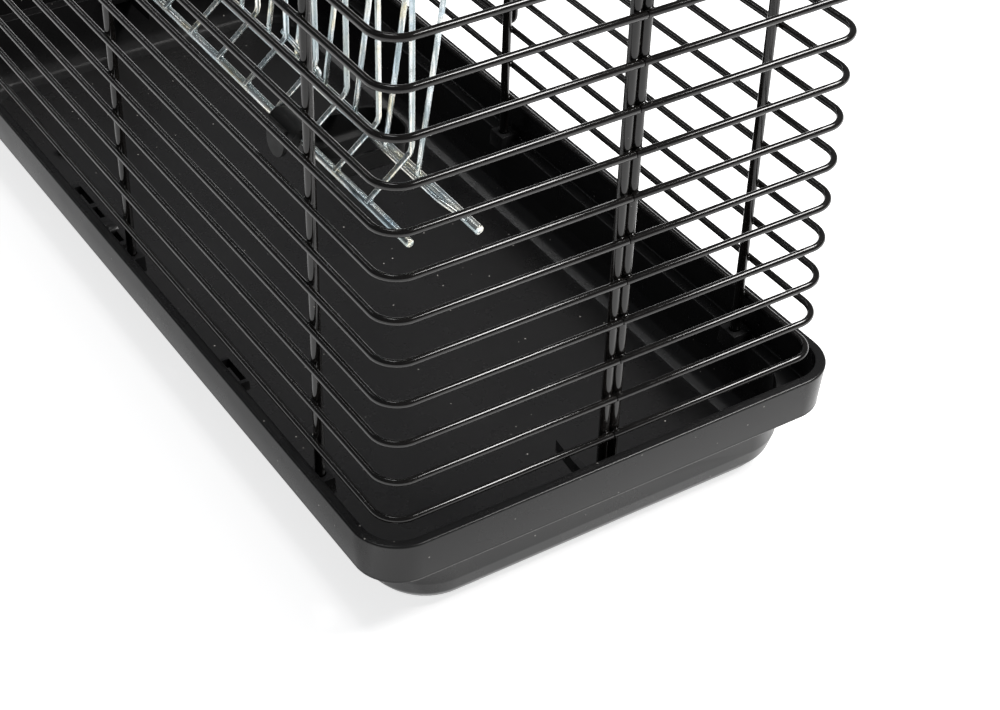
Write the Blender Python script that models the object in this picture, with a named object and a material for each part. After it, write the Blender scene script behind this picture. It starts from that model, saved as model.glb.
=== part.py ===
"""Wire rabbit cage: a deep black plastic tray carrying a black wire cage of two
bent half shells, a wire roof with a lift-up door, a side door, and a zinc hay
rack with a small clip-on feed dish.  Metres, +Z up, long axis along Y, tray
standing on Z = 0."""
import math

import bmesh
import bpy
from mathutils import Matrix, Vector

MM = 0.001
CLEAR = 0.3 * MM                 # running gap between separate pieces

# ---- wire cage -----------------------------------------------------------
PITCH = 25.0 * MM                # spacing of the horizontal wires
LEVELS = 13                      # rings of horizontal wire
LEVEL0_Z = 80.0 * MM             # lowest ring
HALF_X = 137.5 * MM              # wire centre plane of the long sides
HALF_Y = 310.0 * MM              # wire centre plane of the ends
BEND_R = 14.5 * MM               # centre-line radius of the corner bends
BEND_STEPS = 3
PARTING = 2.0                    # degrees each side of the middle of a bend, where grilles part
WIRE_R = 2.0 * MM                # horizontal wire
UPRIGHT_R = 2.9 * MM             # vertical wire
UPRIGHT_IN = 4.0 * MM            # verticals sit inside the horizontals
UPRIGHT_Y = 232.5 * MM           # side verticals at -Y, 0, +Y
RIGHT_NEAR_Y = 246.0 * MM        # the right side's near vertical stands closer to its corner
PAIR_X = 3.05 * MM               # end verticals of the two halves stand side by side
HALF_GAP = 0.25 * MM             # horizontals stop this far from the middle
FOOT_Z = 50.7 * MM               # wire feet in the tray sockets
TOP_Z = LEVEL0_Z + (LEVELS - 1) * PITCH

# ---- side door opening in the right-hand shell ---------------------------
CUT_LOW, CUT_HIGH = 3, 8         # rings cut away between two verticals
SPLIT_Y = 4.0 * MM               # side and roof grilles are parted here, past the middle upright

# ---- roof ----------------------------------------------------------------
ROOF_Z = TOP_Z + 2 * WIRE_R + CLEAR
ROOF_R = 1.95 * MM
BAR_Z = ROOF_Z + 4.0 * MM
ROOF_LINES = 10                  # long roof wires
ROOF_HOLE_LINES = 6              # of which cut for the roof door

# ---- doors ---------------------------------------------------------------
DOOR_R = 2.0 * MM
DOOR_FILL_R = 1.75 * MM
SIDE_DOOR_X = HALF_X + WIRE_R + CLEAR + DOOR_R
SIDE_DOOR_Y = (4.0 * MM, 228.5 * MM)
SIDE_DOOR_Z = (LEVEL0_Z + (CUT_LOW - 1) * PITCH, LEVEL0_Z + (CUT_HIGH + 1) * PITCH)
ROOF_DOOR_Z = ROOF_Z + ROOF_R + CLEAR + DOOR_R + 0.15 * MM
ROOF_DOOR_X = 87.5 * MM
ROOF_DOOR_Y = (8.0 * MM, 224.5 * MM)
DOOR_BEND = 8.0 * MM

# ---- tray ----------------------------------------------------------------
LIP_TOP = 72.5 * MM
LIP_OUT = 12.5 * MM              # lip edge outside the wire plane
LIP_IN = 5.5 * MM
LEDGE_Z = 50.0 * MM
LEDGE_IN = -3.0 * MM
SKIRT_Z = 46.0 * MM
FLOOR_Z = 3.0 * MM
CORNER_STEPS = 5

# ---- hay rack ------------------------------------------------------------
RACK_WIRES = 9
RACK_STEP = 30.9 * MM
RACK_Y0 = -256.75 * MM           # first back wire
RACK_END = 37.0 * MM             # rods run on past the first and last wire
ROD_L = (-115.0 * MM, 235.0 * MM)
ROD_L_R = 2.25 * MM
ROD_R = (-76.75 * MM, 228.75 * MM)
ROD_R_R = 2.5 * MM
THIN_R = 1.3 * MM
RACK_BEND = (-91.75 * MM, 257.5 * MM)
RACK_TOP = 350.0 * MM
FRONT_FOOT = (-79.3 * MM, 228.9 * MM)
FRONT_TOP = (-62.2 * MM, 345.0 * MM)
SPACER = (-83.2 * MM, 233.0 * MM)

# ---- feed dish -----------------------------------------------------------
DISH_Y = -179.55 * MM
SADDLE_W = 26.0 * MM
DISH_X = (-109.5 * MM, -52.0 * MM)
DISH_HALF_Y = 20.5 * MM
DISH_TOP = 222.0 * MM
DISH_DEPTH = 16.0 * MM


# --------------------------------------------------------------------------
for old in list(bpy.data.objects):
    bpy.data.objects.remove(old, do_unlink=True)
OBJECT = bpy.data.collections.new("wire_rabbit_cage")
bpy.context.scene.collection.children.link(OBJECT)


def material(name, color, roughness, metallic):
    m = bpy.data.materials.new(name)
    m.use_nodes = True
    b = m.node_tree.nodes["Principled BSDF"]
    b.inputs["Base Color"].default_value = (*color, 1.0)
    b.inputs["Roughness"].default_value = roughness
    b.inputs["Metallic"].default_value = metallic
    m.diffuse_color = (*color, 1.0)
    return m


BLACK_WIRE = ((0.012, 0.012, 0.012), 0.28, 0.0)
BLACK_TRAY = ((0.028, 0.028, 0.031), 0.38, 0.0)
ZINC = ((0.62, 0.63, 0.60), 0.32, 1.0)
BLACK_DISH = ((0.02, 0.02, 0.02), 0.4, 0.0)
CLIP_STEEL = ((0.02, 0.02, 0.022), 0.35, 0.0)


def link(name, mesh, look):
    ob = bpy.data.objects.new(name, mesh)
    OBJECT.objects.link(ob)
    mesh.name = name
    if look:
        mesh.materials.clear()
        mesh.materials.append(material(name + "_finish", *look))
    return ob


def drop(ob):
    mesh = ob.data
    bpy.data.objects.remove(ob, do_unlink=True)
    if mesh.users == 0:
        bpy.data.meshes.remove(mesh)


def tidy(mesh, dist=2e-6):
    bm = bmesh.new()
    bm.from_mesh(mesh)
    bmesh.ops.remove_doubles(bm, verts=bm.verts, dist=dist)
    bmesh.ops.recalc_face_normals(bm, faces=bm.faces)
    bm.to_mesh(mesh)
    bm.free()


def from_curve(curve, placed=None):
    """Turn a curve object into a closed mesh object and remove the curve."""
    ob = bpy.data.objects.new("sweep", curve)
    OBJECT.objects.link(ob)
    if placed is not None:
        ob.matrix_world = placed
    bpy.context.view_layer.update()
    graph = bpy.context.evaluated_depsgraph_get()
    mesh = bpy.data.meshes.new_from_object(ob.evaluated_get(graph))
    mesh.transform(ob.matrix_world)
    bpy.data.objects.remove(ob, do_unlink=True)
    bpy.data.curves.remove(curve)
    tidy(mesh)
    return link("sweep", mesh, None)


def wires(paths, radius, sides=1, closed=False):
    """Round wires along computed centre lines, all in one mesh."""
    curve = bpy.data.curves.new("wire", 'CURVE')
    curve.dimensions = '3D'
    curve.bevel_depth = radius
    curve.bevel_resolution = sides
    curve.use_fill_caps = True
    for path in paths:
        sp = curve.splines.new('POLY')
        sp.points.add(len(path) - 1)
        for p, q in zip(sp.points, path):
            p.co = (q[0], q[1], q[2], 1.0)
        sp.use_cyclic_u = closed
    return from_curve(curve)


def plate(outlines, width, frame):
    """Flat outline (with holes) given in the frame's own plane, made `width` thick."""
    curve = bpy.data.curves.new("plate", 'CURVE')
    curve.dimensions = '2D'
    curve.fill_mode = 'BOTH'
    curve.extrude = width / 2
    for outline in outlines:
        sp = curve.splines.new('POLY')
        sp.points.add(len(outline) - 1)
        for p, q in zip(sp.points, outline):
            p.co = (q[0], q[1], 0.0, 1.0)
        sp.use_cyclic_u = True
    return from_curve(curve, frame)


def frame_at(origin, u, v):
    u, v = Vector(u), Vector(v)
    w = u.cross(v)
    m = Matrix((u, v, w)).transposed().to_4x4()
    m.translation = Vector(origin)
    return m


def combine(target, tool, how='UNION'):
    mod = target.modifiers.new(how.lower(), 'BOOLEAN')
    mod.operation = how
    mod.solver = 'EXACT'
    mod.object = tool
    bpy.context.view_layer.update()
    graph = bpy.context.evaluated_depsgraph_get()
    mesh = bpy.data.meshes.new_from_object(target.evaluated_get(graph))
    old = target.data
    target.modifiers.clear()
    target.data = mesh
    bpy.data.meshes.remove(old)
    drop(tool)
    tidy(target.data)
    return target


def joined(obs):
    """Put pieces that do not touch each other into one mesh."""
    bm = bmesh.new()
    for ob in obs:
        bm.from_mesh(ob.data)
    mesh = bpy.data.meshes.new("joined")
    bm.to_mesh(mesh)
    bm.free()
    for ob in obs:
        drop(ob)
    return link("joined", mesh, None)


def box(lo, hi):
    mesh = bpy.data.meshes.new("box")
    bm = bmesh.new()
    bmesh.ops.create_cube(bm, size=1.0)
    for v in bm.verts:
        v.co = Vector([lo[i] + (v.co[i] + 0.5) * (hi[i] - lo[i]) for i in range(3)])
    bm.to_mesh(mesh)
    bm.free()
    return link("box", mesh, None)


def post(centre, radius, z0, z1, sides=10):
    mesh = bpy.data.meshes.new("post")
    bm = bmesh.new()
    bmesh.ops.create_cone(bm, cap_ends=True, segments=sides, radius1=radius,
                          radius2=radius, depth=z1 - z0)
    bmesh.ops.translate(bm, verts=bm.verts,
                        vec=Vector((centre[0], centre[1], (z0 + z1) / 2)))
    bm.to_mesh(mesh)
    bm.free()
    return link("post", mesh, None)


def finish(ob, name, look, pivot=(0.0, 0.0, 0.0), smooth=40.0):
    ob.name = name
    ob.data.name = name
    ob.data.materials.clear()
    ob.data.materials.append(material(name + "_finish", *look))
    ob.data.transform(Matrix.Translation(-Vector(pivot)))
    ob.location = Vector(pivot)
    for p in ob.data.polygons:
        p.use_smooth = True
    ob.data.set_sharp_from_angle(angle=math.radians(smooth))
    return ob


def arc(cx, cy, radius, a0, a1, steps):
    return [(cx + radius * math.cos(math.radians(a0 + (a1 - a0) * i / steps)),
             cy + radius * math.sin(math.radians(a0 + (a1 - a0) * i / steps)))
            for i in range(steps + 1)]


# ---- tray ----------------------------------------------------------------
def ring(out, z, radius, hx=HALF_X, hy=HALF_Y, cx=0.0, cy=0.0, steps=CORNER_STEPS):
    x, y = hx + out - radius, hy + out - radius
    pts = (arc(cx + x, cy + y, radius, 0, 90, steps) + arc(cx - x, cy + y, radius, 90, 180, steps)
           + arc(cx - x, cy - y, radius, 180, 270, steps) + arc(cx + x, cy - y, radius, 270, 360, steps))
    return [(p[0], p[1], z) for p in pts]


def loft(rings):
    """Close a stack of matching rings; first and last are capped flat."""
    mesh = bpy.data.meshes.new("loft")
    bm = bmesh.new()
    rows = [[bm.verts.new(p) for p in r] for r in rings]
    n = len(rows[0])
    for a, b in zip(rows, rows[1:]):
        for i in range(n):
            j = (i + 1) % n
            bm.faces.new((a[i], a[j], b[j], b[i]))
    bm.faces.new(rows[0])
    bm.faces.new(rows[-1])
    bmesh.ops.recalc_face_normals(bm, faces=bm.faces)
    bm.to_mesh(mesh)
    bm.free()
    return link("loft", mesh, None)


def build_tray():
    mm = MM
    tray = loft([
        ring(-24 * mm, FLOOR_Z, 22 * mm),
        ring(-15.5 * mm, 5.6 * mm, 27 * mm),
        ring(-9.6 * mm, 11.5 * mm, 31 * mm),
        ring(-7.0 * mm, 20 * mm, 33 * mm),
        ring(LEDGE_IN, LEDGE_Z, 35 * mm),
        ring(LIP_IN, LEDGE_Z, BEND_R + LIP_IN),
        ring(LIP_IN + 0.3 * mm, LIP_TOP - 0.9 * mm, BEND_R + LIP_IN),
        ring(LIP_IN + 1.2 * mm, LIP_TOP, BEND_R + LIP_IN),
        ring(LIP_OUT - 1.0 * mm, LIP_TOP, BEND_R + LIP_OUT - 1.0 * mm),
        ring(LIP_OUT, LIP_TOP - 1.0 * mm, BEND_R + LIP_OUT),
        ring(LIP_OUT - 1.8 * mm, SKIRT_Z + 1.0 * mm, BEND_R + LIP_OUT - 1.8 * mm),
        ring(LIP_OUT - 2.6 * mm, SKIRT_Z, BEND_R + LIP_OUT - 2.6 * mm),
        ring(LIP_OUT - 3.8 * mm, SKIRT_Z, BEND_R + LIP_OUT - 3.8 * mm),
        ring(LIP_OUT - 2.4 * mm, LIP_TOP - 2.2 * mm, BEND_R + LIP_OUT - 2.4 * mm),
        ring(LIP_IN + 2.2 * mm, LIP_TOP - 2.2 * mm, BEND_R + LIP_IN + 2.2 * mm),
        ring(LIP_IN + 1.8 * mm, LEDGE_Z - 2.2 * mm, BEND_R + LIP_IN + 1.8 * mm),
        ring(-0.6 * mm, LEDGE_Z - 2.2 * mm, 37 * mm),
        ring(-4.4 * mm, 20 * mm, 36 * mm),
        ring(-7.2 * mm, 10.5 * mm, 34 * mm),
        ring(-13.6 * mm, 3.4 * mm, 30 * mm),
        ring(-24 * mm, 0.0, 24 * mm),
    ])
    # sockets for the feet of the verticals, moulded on the ledge
    ux, uy = HALF_X - UPRIGHT_IN, HALF_Y - UPRIGHT_IN
    blocks, holes = [], []
    for side in (-1, 1):
        for y in (-UPRIGHT_Y if side < 0 else -RIGHT_NEAR_Y, 0.0, UPRIGHT_Y):
            a, b = side * (ux - 6.0 * mm), side * (HALF_X + 4.0 * mm)
            blocks.append(box((min(a, b), y - 7.5 * mm, 48.2 * mm), (max(a, b), y + 7.5 * mm, 55 * mm)))
            holes.append(post((side * ux, y), UPRIGHT_R + 0.45 * mm, 50.4 * mm, 60 * mm))
        a, b = side * (uy - 6.0 * mm), side * (HALF_Y + 4.0 * mm)
        blocks.append(box((-10.5 * mm, min(a, b), 48.2 * mm), (10.5 * mm, max(a, b), 55 * mm)))
        holes.append(box((-PAIR_X - UPRIGHT_R - 0.45 * mm, side * uy - UPRIGHT_R - 0.45 * mm, 50.4 * mm),
                         (PAIR_X + UPRIGHT_R + 0.45 * mm, side * uy + UPRIGHT_R + 0.45 * mm, 60 * mm)))
        # short gusset beside each end socket
        c, d = side * (HALF_Y - 26 * mm), side * (HALF_Y - 1.7 * mm)
        blocks.append(box((side * 14 * mm - 1.5 * mm, min(c, d), 40 * mm),
                          (side * 14 * mm + 1.5 * mm, max(c, d), 53 * mm)))
    combine(tray, joined(blocks))
    # drain holes through the ledge
    for side in (-1, 1):
        for y in (-142.5 * mm, 45.0 * mm):
            holes.append(post((side * (HALF_X + 1.4 * mm), side * y), 1.5 * mm, 40 * mm, 56 * mm, 8))
    combine(tray, joined(holes), 'DIFFERENCE')
    return finish(tray, "tray", BLACK_TRAY)


# ---- wire shells ---------------------------------------------------------
def end_rings(side, end):
    """Horizontal wires of one end of a half shell, up to the middle of the bends."""
    x, y = HALF_X - BEND_R, HALF_Y - BEND_R
    path = [(HALF_GAP, HALF_Y)] + arc(x, y, BEND_R, 90, 45 + PARTING, 2)
    return [[(side * p[0], end * p[1], LEVEL0_Z + k * PITCH) for p in path]
            for k in range(LEVELS)]


def side_rings(side, near=None, far=None, cut_near=None, cut_far=None):
    """Horizontal wires of a long side, from bend to bend.  near and far end the
    stretch on the straight instead, and the cut limits end those wires that stop
    at the side door."""
    x, y = HALF_X - BEND_R, HALF_Y - BEND_R
    bend = arc(x, y, BEND_R, 0, 45 - PARTING, 2)
    out = []
    for k in range(LEVELS):
        cut = CUT_LOW <= k <= CUT_HIGH
        a = cut_near if cut and cut_near is not None else near
        b = cut_far if cut and cut_far is not None else far
        path = [(HALF_X, a)] if a is not None else [(p[0], -p[1]) for p in bend[::-1]]
        path += [(HALF_X, b)] if b is not None else bend
        out.append([(side * p[0], p[1], LEVEL0_Z + k * PITCH) for p in path])
    return out


def grille(name, rings, uprights):
    """Flat grille of horizontal wires on vertical wires."""
    top = TOP_Z + 1.9 * MM
    shell = wires(rings, WIRE_R)
    combine(shell, wires([[(x, y, FOOT_Z), (x, y, top)] for x, y in uprights], UPRIGHT_R))
    return finish(shell, name, BLACK_WIRE)


def build_shell(tag, side, door):
    """One half shell.  Its wires run on round both corners; they are parted in
    the middle of the bends, so that each grille is a nearly flat piece."""
    x, y = HALF_X - UPRIGHT_IN, HALF_Y - UPRIGHT_IN
    for end_tag, end in (("near", -1), ("far", 1)):
        grille("%s_%s_end_grille" % (tag, end_tag), end_rings(side, end),
               [(side * PAIR_X, end * y)])
    if not door:
        grille("%s_side_grille" % tag, side_rings(side),
               [(side * x, v) for v in (-UPRIGHT_Y, 0.0, UPRIGHT_Y)])
        return
    grille("%s_side_grille" % tag, side_rings(side, far=SPLIT_Y, cut_far=1.9 * MM),
           [(side * x, v) for v in (-RIGHT_NEAR_Y, 0.0)])
    grille("%s_door_side_grille" % tag,
           side_rings(side, near=SPLIT_Y + CLEAR, cut_near=UPRIGHT_Y - 1.9 * MM),
           [(side * x, UPRIGHT_Y)])


# ---- straps, hinge clips and latches ------------------------------------
def strap(name, frame, reach, r_in, width, look=CLIP_STEEL, steps=5, gauge=0.9 * MM):
    """Closed band round two parallel wires `reach` apart along the frame's u axis."""
    def loop(r):
        return arc(reach, 0, r, -90, 90, steps) + arc(0, 0, r, 90, 270, steps)
    return finish(plate([loop(r_in + gauge), loop(r_in)], width, frame), name, look)


def bent_strip(path, gauge):
    """Outline of a strip of even thickness along a 2D centre line."""
    left, right = [], []
    for i, p in enumerate(path):
        a = Vector(path[max(i - 1, 0)])
        b = Vector(path[min(i + 1, len(path) - 1)])
        p = Vector(p)
        d0 = (p - a).normalized() if i > 0 else (b - p).normalized()
        d1 = (b - p).normalized() if i < len(path) - 1 else d0
        t = (d0 + d1).normalized()
        n = Vector((-t.y, t.x))
        k = gauge / 2 / max(0.5, n.dot(Vector((-d0.y, d0.x))))
        left.append(tuple(p + n * k))
        right.append(tuple(p - n * k))
    return left + right[::-1]


def latch(name, frame, pivot, tab_deg, arm_deg, hook_deg, hook_r, width):
    """Strip wrapped round a door wire, with a finger tab and a hook arc.  Angles
    are the piece's own, at rest, seen in the frame's plane."""
    wrap = DOOR_R + 0.35 * MM + 0.6 * MM
    step = -1 if arm_deg < tab_deg else 1
    path = [(9 * MM * math.cos(math.radians(tab_deg)), 9 * MM * math.sin(math.radians(tab_deg)))]
    path += arc(0, 0, wrap, tab_deg, arm_deg, 9)
    path += arc(0, 0, hook_r, arm_deg, hook_deg, 5)
    return finish(plate([bent_strip(path, 1.2 * MM)], width, frame), name, CLIP_STEEL, pivot)


def roof_lines(y_from, y_to, cut_from=None, cut_to=None):
    """Long roof wires of a stretch; those that stop at the roof door take the cut
    limits instead."""
    out = []
    for i in range(ROOF_LINES):
        lx = (i - (ROOF_LINES - 1) / 2) * PITCH
        cut = abs(lx) < ROOF_HOLE_LINES / 2 * PITCH
        a = cut_from if cut and cut_from is not None else y_from
        b = cut_to if cut and cut_to is not None else y_to
        out.append([(lx, a, ROOF_Z + 0.15 * MM), (lx, b, ROOF_Z + 0.15 * MM)])
    return out


def roof_part(name, end, y_open, lines, bars):
    """One stretch of the roof: the rim round that end, its long wires and bars."""
    x, y = HALF_X - BEND_R, HALF_Y - BEND_R
    rim = [(HALF_X, end * y_open)] + arc(x, y, BEND_R, 0, 90, BEND_STEPS)
    rim += arc(-x, y, BEND_R, 90, 180, BEND_STEPS) + [(-HALF_X, end * y_open)]
    roof = wires([[(p[0], end * p[1], ROOF_Z) for p in rim]], WIRE_R)
    combine(roof, wires(lines, ROOF_R))
    combine(roof, wires([[(-HALF_X - 1.2 * MM, v, BAR_Z), (HALF_X + 1.2 * MM, v, BAR_Z)]
                         for v in bars], UPRIGHT_R))
    return finish(roof, name, BLACK_WIRE)


def build_roof():
    """The roof grille, parted beside the middle bar into the plain half and the
    half that holds the door."""
    roof_part("roof_grille", -1, SPLIT_Y, roof_lines(-HALF_Y, SPLIT_Y, cut_to=1.9 * MM),
              (-UPRIGHT_Y, 0.0))
    roof_part("roof_door_side_grille", 1, SPLIT_Y + CLEAR,
              roof_lines(SPLIT_Y + CLEAR, HALF_Y, cut_from=UPRIGHT_Y - 1.9 * MM), (UPRIGHT_Y,))


def rounded(lo, hi, radius, steps=BEND_STEPS):
    return (arc(hi[0] - radius, hi[1] - radius, radius, 0, 90, steps)
            + arc(lo[0] + radius, hi[1] - radius, radius, 90, 180, steps)
            + arc(lo[0] + radius, lo[1] + radius, radius, 180, 270, steps)
            + arc(hi[0] - radius, lo[1] + radius, radius, 270, 360, steps))


def build_side_door():
    (y0, y1), (z0, z1) = SIDE_DOOR_Y, SIDE_DOOR_Z
    x = SIDE_DOOR_X
    door = wires([[(x, p[0], p[1]) for p in rounded((y0, z0), (y1, z1), DOOR_BEND)]],
                 DOOR_R, closed=True)
    xf = x + 0.12 * MM
    fill = [[(xf, y0, LEVEL0_Z + k * PITCH), (xf, y1, LEVEL0_Z + k * PITCH)]
            for k in range(CUT_LOW, CUT_HIGH + 1)]
    combine(door, wires(fill, DOOR_FILL_R))
    mid = (y0 + y1) / 2
    xm = x + 3.1 * MM
    combine(door, wires([[(xm, mid, z0 - 1.0 * MM), (xm, mid, z1 + 1.0 * MM)]], DOOR_FILL_R))
    return finish(door, "side_door", BLACK_WIRE, (x, y0, (z0 + z1) / 2))


def build_roof_door():
    y0, y1 = ROOF_DOOR_Y
    x, z = ROOF_DOOR_X, ROOF_DOOR_Z
    door = wires([[(p[0], p[1], z) for p in rounded((-x, y0), (x, y1), DOOR_BEND)]],
                 DOOR_R, closed=True)
    zf = z + 0.12 * MM
    fill = []
    for i in range(ROOF_HOLE_LINES):
        lx = (i - (ROOF_HOLE_LINES - 1) / 2) * PITCH
        fill.append([(lx, y0, zf), (lx, y1, zf)])
    combine(door, wires(fill, DOOR_FILL_R))
    mid = (y0 + y1) / 2
    combine(door, wires([[(-x - 1.0 * MM, mid, z + 3.1 * MM), (x + 1.0 * MM, mid, z + 3.1 * MM)]],
                        DOOR_FILL_R))
    return finish(door, "roof_door", BLACK_WIRE, (0.0, y0, z))


# ---- hay rack ------------------------------------------------------------
HOOK_WIRES = (2, 6)              # back wires that run on into the hanging hooks
EYE_WIRES = (0, 4, 8)            # back wires that carry an eye for the pivot rod


def build_rack_back():
    y_last = RACK_Y0 + (RACK_WIRES - 1) * RACK_STEP
    y0, y1 = RACK_Y0 - RACK_END, y_last + RACK_END
    rack = wires([[(ROD_L[0], y0, ROD_L[1]), (ROD_L[0], y1, ROD_L[1])]], ROD_L_R)
    ups = []
    level11 = TOP_Z - PITCH
    arm_z = level11 + WIRE_R + CLEAR + THIN_R
    hook_x = -HALF_X - WIRE_R - CLEAR - THIN_R
    start = (ROD_L[0] - 2.0 * MM, ROD_L[1] + ROD_L_R - 0.6 * MM)
    for k in range(RACK_WIRES):
        y = RACK_Y0 + k * RACK_STEP
        path = [start, (RACK_BEND[0] - 2.0 * MM, RACK_BEND[1] - 1.6 * MM),
                (RACK_BEND[0], RACK_BEND[1] + 2.5 * MM)]
        if k in HOOK_WIRES:
            path += [(RACK_BEND[0], arm_z - 3.0 * MM), (RACK_BEND[0] - 3.0 * MM, arm_z),
                     (hook_x + 2.0 * MM, arm_z), (hook_x, arm_z - 2.0 * MM),
                     (hook_x, arm_z - 8.0 * MM)]
        else:
            path += [(RACK_BEND[0], RACK_TOP + 2.0 * MM)]
        ups.append([(p[0], y, p[1]) for p in path])
    combine(rack, wires(ups, THIN_R))
    tx = RACK_BEND[0] - 2.1 * MM
    combine(rack, wires([[(tx, y0 + 25 * MM, RACK_TOP), (tx, y1 - 25 * MM, RACK_TOP)]], THIN_R))
    # eyes: short wires from the bends down round the pivot rod
    eyes = []
    r = ROD_R_R + 0.35 * MM + THIN_R
    for k in EYE_WIRES:
        y = RACK_Y0 + k * RACK_STEP + 2.1 * MM
        top = (RACK_BEND[0] - 1.2 * MM, RACK_BEND[1] + 3.0 * MM)
        d = (top[0] - ROD_R[0], top[1] - ROD_R[1])
        dist = math.hypot(*d)
        a = math.degrees(math.atan2(d[1], d[0])) - math.degrees(math.acos(r / dist))
        path = [top] + arc(ROD_R[0], ROD_R[1], r, a, a - 280, 7)
        eyes.append([(p[0], y, p[1]) for p in path])
    combine(rack, wires(eyes, THIN_R))
    return finish(rack, "hay_rack_back_grid", ZINC)


def build_rack_front():
    y_last = RACK_Y0 + (RACK_WIRES - 1) * RACK_STEP
    y0, y1 = RACK_Y0 - RACK_END, y_last + RACK_END
    rack = wires([[(ROD_R[0], y0, ROD_R[1]), (ROD_R[0], y1, ROD_R[1])]], ROD_R_R)
    lean = []
    hook_z = RACK_TOP + THIN_R * 2 + 2.0 * MM
    back_x = RACK_BEND[0] - 2.1 * MM
    for k in range(RACK_WIRES - 1):
        y = RACK_Y0 + (k + 0.5) * RACK_STEP
        path = [FRONT_FOOT, FRONT_TOP]
        if k in (0, RACK_WIRES - 2):
            # end wires run on over the back grid's top rod as stays
            path = [FRONT_FOOT, FRONT_TOP, (FRONT_TOP[0] - 0.4 * MM, hook_z - 2.2 * MM),
                    (FRONT_TOP[0] - 2.6 * MM, hook_z), (back_x - 2.0 * MM, hook_z),
                    (back_x - 3.2 * MM, hook_z - 1.6 * MM), (back_x - 3.2 * MM, hook_z - 6.5 * MM)]
        lean.append([(p[0], y, p[1]) for p in path])
    combine(rack, wires(lean, THIN_R))
    t = 0.93
    tx = FRONT_FOOT[0] + (FRONT_TOP[0] - FRONT_FOOT[0]) * t + 2.1 * MM
    tz = FRONT_FOOT[1] + (FRONT_TOP[1] - FRONT_FOOT[1]) * t
    combine(rack, wires([[(tx, RACK_Y0 + 6 * MM, tz), (tx, y_last - 6 * MM, tz)]], THIN_R))
    # thin spacer rod beside the pivot rod, its ends turned in and welded on
    combine(rack, wires([[(ROD_R[0] - 1.6 * MM, y0 + 9 * MM, ROD_R[1] + 1.6 * MM),
                          (SPACER[0], y0 + 26 * MM, SPACER[1]),
                          (SPACER[0], y1 - 26 * MM, SPACER[1]),
                          (ROD_R[0] - 1.6 * MM, y1 - 9 * MM, ROD_R[1] + 1.6 * MM)]], THIN_R))
    return finish(rack, "hay_rack_front_grid", ZINC, (ROD_R[0], 0.0, ROD_R[1]))


def build_dish():
    """Small bowl on an arm with a snap saddle round the rack's lower rod."""
    mm = MM
    hx, hy = (DISH_X[1] - DISH_X[0]) / 2, DISH_HALF_Y
    cx = (DISH_X[0] + DISH_X[1]) / 2
    low = DISH_TOP - DISH_DEPTH

    def r(out, z, radius):
        return ring(out, z, radius, hx, hy, cx, DISH_Y, 4)
    dish = loft([
        r(-8.0 * mm, low + 1.8 * mm, 9 * mm),
        r(-3.6 * mm, low + 4.2 * mm, 13 * mm),
        r(-1.8 * mm, DISH_TOP, 15 * mm),
        r(0.0, DISH_TOP, 16.5 * mm),
        r(-2.0 * mm, low + 3.0 * mm, 14.5 * mm),
        r(-7.0 * mm, low, 10 * mm),
    ])
    r_in = ROD_L_R + CLEAR
    r_out = r_in + 4.2 * mm
    # C-shaped saddle, open downwards, with the arm on the inner lower side
    a0, a1 = -38.0, 222.0
    outline = arc(0, 0, r_out, a0, a1, 9) + arc(0, 0, r_in, a1, a0, 9)
    saddle = plate([outline], SADDLE_W - 2 * CLEAR,
                   frame_at((ROD_L[0], DISH_Y, ROD_L[1]), (1, 0, 0), (0, 0, 1)))
    arm = box((ROD_L[0] + 3.1 * mm, DISH_Y - 10 * mm, DISH_TOP - 6 * mm),
              (ROD_L[0] + 6.4 * mm, DISH_Y + 10 * mm, ROD_L[1] - 1.0 * mm))
    combine(saddle, arm)
    tip = [(p[0], p[1]) for p in arc(0, -11.0 * mm, 7.0 * mm, 180, 360, 6)]
    lobe = plate([tip + [(7.0 * mm, 1.0 * mm), (-7.0 * mm, 1.0 * mm)]], 2.4 * mm,
                 frame_at((ROD_L[0] - 6.2 * mm, DISH_Y, ROD_L[1] - 1.5 * mm), (0, 1, 0),
                          (0.12, 0, 0.9928)))
    combine(saddle, lobe)
    combine(dish, saddle)
    return finish(dish, "feed_dish", BLACK_DISH, (ROD_L[0], DISH_Y, ROD_L[1]))


# --------------------------------------------------------------------------
build_tray()
build_shell("left", -1, False)
build_shell("right", 1, True)
build_roof()
build_side_door()
build_roof_door()
build_rack_back()
build_rack_front()
build_dish()

# bands that hold the two halves together at their end verticals
pair_y = HALF_Y - UPRIGHT_IN
for tag, s in (("near", -1), ("far", 1)):
    for level, k in (("upper", 11.5), ("lower", 10.5)):
        strap("%s_end_band_%s" % (tag, level),
              frame_at((-PAIR_X, s * pair_y, LEVEL0_Z + k * PITCH), (1, 0, 0), (0, 1, 0)),
              2 * PAIR_X, UPRIGHT_R + CLEAR, 8 * MM)

# bands that tie the roof rim to the top ring
lift = ROOF_Z - TOP_Z
for tag, x, y in (("left_near", -1, -1), ("left_far", -1, 1), ("right_near", 1, -1), ("right_far", 1, 1)):
    strap("roof_band_%s" % tag,
          frame_at((x * HALF_X, y * 4.65 * PITCH, TOP_Z), (0, 0, 1), (1, 0, 0)),
          lift, WIRE_R + CLEAR, 8 * MM)
    strap("roof_end_band_%s" % tag,
          frame_at((x * 3.0 * PITCH, y * HALF_Y, TOP_Z), (0, 0, 1), (0, 1, 0)),
          lift, WIRE_R + CLEAR, 8 * MM)

# hinge bands of the side door, round the vertical and the door's frame wire
ux = HALF_X - UPRIGHT_IN
d = Vector((SIDE_DOOR_X - ux, SIDE_DOOR_Y[0], 0.0))
u = d.normalized()
for tag, k in (("lower", 3.5), ("upper", 7.5)):
    strap("side_door_hinge_%s" % tag,
          frame_at((ux, 0.0, LEVEL0_Z + k * PITCH), u, Vector((0, 0, 1)).cross(u)),
          d.length, UPRIGHT_R + CLEAR, 9 * MM)

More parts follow.
